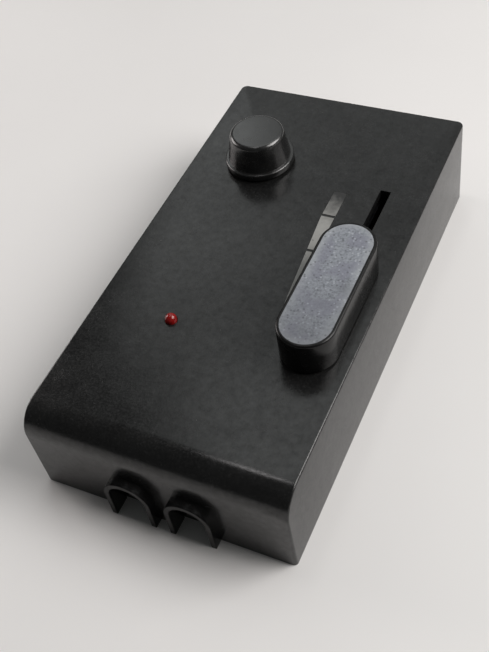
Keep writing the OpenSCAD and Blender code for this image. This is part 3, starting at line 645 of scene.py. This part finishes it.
def circle(x, y, radius, steps=32):
    """Points of a flat circle."""
    angles = [2 * math.pi * i / steps for i in range(steps)]
    return [(x + radius * math.cos(a), y + radius * math.sin(a)) for a in angles]


def loft(bm, rings, closed=False):
    """Joins rings of points into a tube, with flat ends or, where closed, round to its start."""
    rings = [[bm.verts.new(point) for point in ring] for ring in rings]
    pairs = list(zip(rings, rings[1:] + rings[:1]))
    for a, b in pairs if closed else pairs[:-1]:
        for i in range(len(a)):
            j = (i + 1) % len(a)
            bm.faces.new((a[i], a[j], b[j], b[i]))
    if not closed:
        bm.faces.new(rings[0])
        bm.faces.new(rings[-1])


def lathe(bm, centre, profile):
    """Adds a form turned about an upright axis, from pairs of radius and height."""
    rings = []
    for radius, height in profile:
        flat = circle(centre.x, centre.y, radius, 20)
        rings.append([(x, y, centre.z + height) for x, y in flat])
    loft(bm, rings)


def feet(node):
    """Where each lead of a CAD node meets the board, and the lead's radius."""
    found = []
    level, lead_width = 0.02 * MM, 1.2 * MM
    for points in solids(node):
        low = [p for p in points if abs(p.z - board_top) < level]
        while low:
            first = low[0]
            near = [p for p in low if (p - first).length < lead_width]
            low = [p for p in low if (p - first).length >= lead_width]
            centre = middle(near)
            found.append((centre, max((p - centre).length for p in near)))
    return found


SOLDERED = ["gain_pot_pins", "slide_pot_pins", "lamp_leads", "transistor_bodies", "chip_pins",
            "flyback_diode", "voltage_regulator", "resistors", "disc_capacitors"]


# Profiles of the solder: how far out from the lead's surface, and how high, in millimetres
FILLET = [(0.48, 0.01), (0.34, 0.06), (0.20, 0.15), (0.09, 0.30), (0.02, 0.50)]
DOME = [(0.60, -0.01), (0.52, -0.10), (0.30, -0.24), (0.12, -0.32), (0.0, -0.34), (-0.06, -0.45)]


def solder_joints():
    """A solder fillet round each lead on the board, and a dome under it with the lead's cut end."""
    fillets, domes = bmesh.new(), bmesh.new()
    for node in SOLDERED:
        for foot, r in feet(node):
            under = Vector((foot.x, foot.y, board_under))
            lathe(fillets, foot, [(r + out * MM, up * MM) for out, up in FILLET])
            lathe(domes, under, [(r + out * MM, up * MM) for out, up in DOME])
    piece("solder_fillets", fillets, "tinned_wire")
    piece("solder_domes", domes, "tinned_wire")


OUTLINED = ["control_chip", "terminal_blocks", "flyback_diode", "resistors", "disc_capacitors",
            "voltage_regulator", "current_shunt", "transistor_bodies", "filter_capacitors"]
ROUND = ["filter_capacitors", "voltage_regulator"]


def board_outlines():
    """Plain outlines printed on the board round its components, but not round single leads."""
    bm = bmesh.new()
    margin, line, ink = 0.55 * MM, 0.16 * MM, 0.02 * MM
    smallest = 3 * MM
    under_ink = board_top + 0.005 * MM
    for node in OUTLINED:
        for points in solids(node):
            low, high = corners(points)
            if (high - low).xy.length < smallest:
                continue
            outlines = []
            for grow in (margin, margin + line):
                if node in ROUND:
                    outlines.append(circle(*middle(points).xy, (high.x - low.x) / 2 + grow))
                else:
                    x0, y0, x1, y1 = low.x - grow, low.y - grow, high.x + grow, high.y + grow
                    outlines.append([(x0, y0), (x1, y0), (x1, y1), (x0, y1)])
            inner, outer = outlines
            levels = ((inner, 0), (outer, 0), (outer, ink), (inner, ink))
            rings = [[(x, y, under_ink + up) for x, y in outline] for outline, up in levels]
            loft(bm, rings, closed=True)
    piece("board_outlines", bm, "print_grey")


def override_spring():
    """A wire spring with closed ends on the guide rod."""
    low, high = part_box("return_spring")
    wire = 0.2 * MM
    coil = (high.x - low.x) / 2 - wire
    axis = (low + high) / 2
    turns, end_turns, steps, sides = 13, 1.2, 36, 10
    start, end = low.y + wire, high.y - wire
    lead = 2.15 * wire
    pitch = (end - start - 2 * end_turns * lead) / (turns - 2 * end_turns)
    rings = []
    for i in range(turns * steps + 1):
        t = i / steps
        closed = min(t, end_turns) + max(0.0, t - (turns - end_turns))
        y = start + lead * closed + pitch * (t - closed)
        a = 2 * math.pi * t
        out = Vector((math.cos(a), 0, math.sin(a)))
        centre = Vector((axis.x, y, axis.z)) + coil * out
        section = circle(0, 0, wire, sides)
        rings.append([centre + u * out + v * Vector((0, 1, 0)) for u, v in section])
    bm = bmesh.new()
    loft(bm, rings)
    spring = piece("override_spring", bm, "spring_steel")
    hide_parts("return_spring")
    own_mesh(spring)


solder_joints()
board_outlines()
override_spring()


# ---------------------------------------------------------------- floor, lights and camera

def studio_floor():
    """A plain pale floor with a faint unevenness."""
    mesh = bpy.data.meshes.new("studio_floor")
    half = 6.0
    outline = [(-half, -half, 0), (half, -half, 0), (half, half, 0), (-half, half, 0)]
    mesh.from_pydata(outline, [], [tuple(range(len(outline)))])
    floor = bpy.data.objects.new("studio_floor", mesh)
    bpy.context.scene.collection.objects.link(floor)
    gap = 0.02 * MM
    floor.location.z = cad_box[0].z - gap
    f = Finish("studio_floor", roughness=0.7, specular_ior_level=0.2)
    dark, light = grey(0.80, (1.0, 0.985, 0.975)), grey(0.84, (1.0, 0.99, 0.98))
    f.set("Base Color", f.mix(f.noise(60.0, detail=3.0), dark, light))
    mesh.materials.append(f.material)


def direction(azimuth, elevation):
    """A unit vector. Azimuth 0 is behind the object, and 90 is on its right."""
    a, e = math.radians(azimuth), math.radians(elevation)
    return Vector((math.sin(a) * math.cos(e), math.cos(a) * math.cos(e), math.sin(e)))


def softbox(name, azimuth, elevation, distance, size, radiance, colour):
    """A rectangular light that faces the object."""
    away = direction(azimuth, elevation)
    data = bpy.data.lights.new(name, "AREA")
    data.shape = "RECTANGLE"
    data.size, data.size_y = size
    data.energy = radiance * math.pi * size[0] * size[1]
    data.color = colour
    light = bpy.data.objects.new(name, data)
    bpy.context.scene.collection.objects.link(light)
    light.location = (cad_box[0] + cad_box[1]) / 2 + away * distance
    light.rotation_euler = away.to_track_quat("Z", "Y").to_euler()
    light.visible_camera = False


def surroundings(base, windows):
    """A dim room with soft-edged bright patches behind the object, which give the black top its sheen."""
    world = bpy.data.worlds.new("surroundings")
    world.use_nodes = True
    tree = world.node_tree

    def node(kind, inputs=(), **settings):
        return add_node(tree, kind, inputs, settings)

    def calculate(operation, a, b=0.0):
        return node("Math", {0: a, 1: b}, operation=operation).outputs[0]

    def between(angle, low, high, soft):
        """1 from low to high degrees, with a soft edge outside both."""
        shares = []
        for start, end, at_start, at_end in ((low - soft, low, 0.0, 1.0), (high, high + soft, 1.0, 0.0)):
            inputs = {"Value": angle, "To Min": at_start, "To Max": at_end}
            inputs |= {"From Min": math.radians(start), "From Max": math.radians(end)}
            made = node("MapRange", inputs, interpolation_type="SMOOTHSTEP")
            shares.append(made.outputs["Result"])
        return calculate("MULTIPLY", *shares)

    seen = node("SeparateXYZ", {"Vector": node("TexCoord").outputs["Generated"]}).outputs
    azimuth = calculate("ARCTAN2", seen["X"], seen["Y"])
    elevation = calculate("ARCSINE", seen["Z"])
    total = base
    for azimuths, elevations, soft, strength in windows:
        across, up = between(azimuth, *azimuths, soft), between(elevation, *elevations, soft)
        patch = calculate("MULTIPLY", across, up)
        total = calculate("ADD", total, calculate("MULTIPLY", patch, strength))
    background = tree.nodes["Background"]
    background.inputs["Color"].default_value = grey(1.0, (0.97, 1.0, 0.99))
    tree.links.new(total, background.inputs["Strength"])
    bpy.context.scene.world = world


def camera():
    """Looks down on the case from its front and its right, slightly rolled."""
    data = bpy.data.cameras.new("camera")
    data.sensor_width = 36.0
    data.lens = 54.8
    data.clip_start = 0.01
    seen = bpy.data.objects.new("camera", data)
    bpy.context.scene.collection.objects.link(seen)
    seen.location = (0.0892, -0.1500, 0.2053)
    seen.rotation_euler = Euler([math.radians(a) for a in (39.971, 7.491, 24.348)])
    bpy.context.scene.camera = seen


# Azimuths from and to, elevations from and to, width of the soft edge (all degrees), and strength
WINDOWS = [
    ((-41, 60), (22, 70), 12, 0.43),
    ((-38, 20), (58, 68), 10, 0.62),
    ((-43, -34), (34, 44), 8, 0.72),
]

studio_floor()
softbox("overhead", -60, 80, 0.9, (0.12, 0.12), 7.0, (1.0, 0.97, 0.97))
softbox("left_fill", -84, 22, 0.48, (0.26, 0.20), 4.4, (1.0, 0.94, 0.92))
softbox("right_fill", 72, 44, 0.6, (0.4, 0.4), 6.8, (1.0, 0.97, 0.95))
surroundings(0.06, WINDOWS)
camera()
bpy.context.scene.view_settings.view_transform = "Standard"
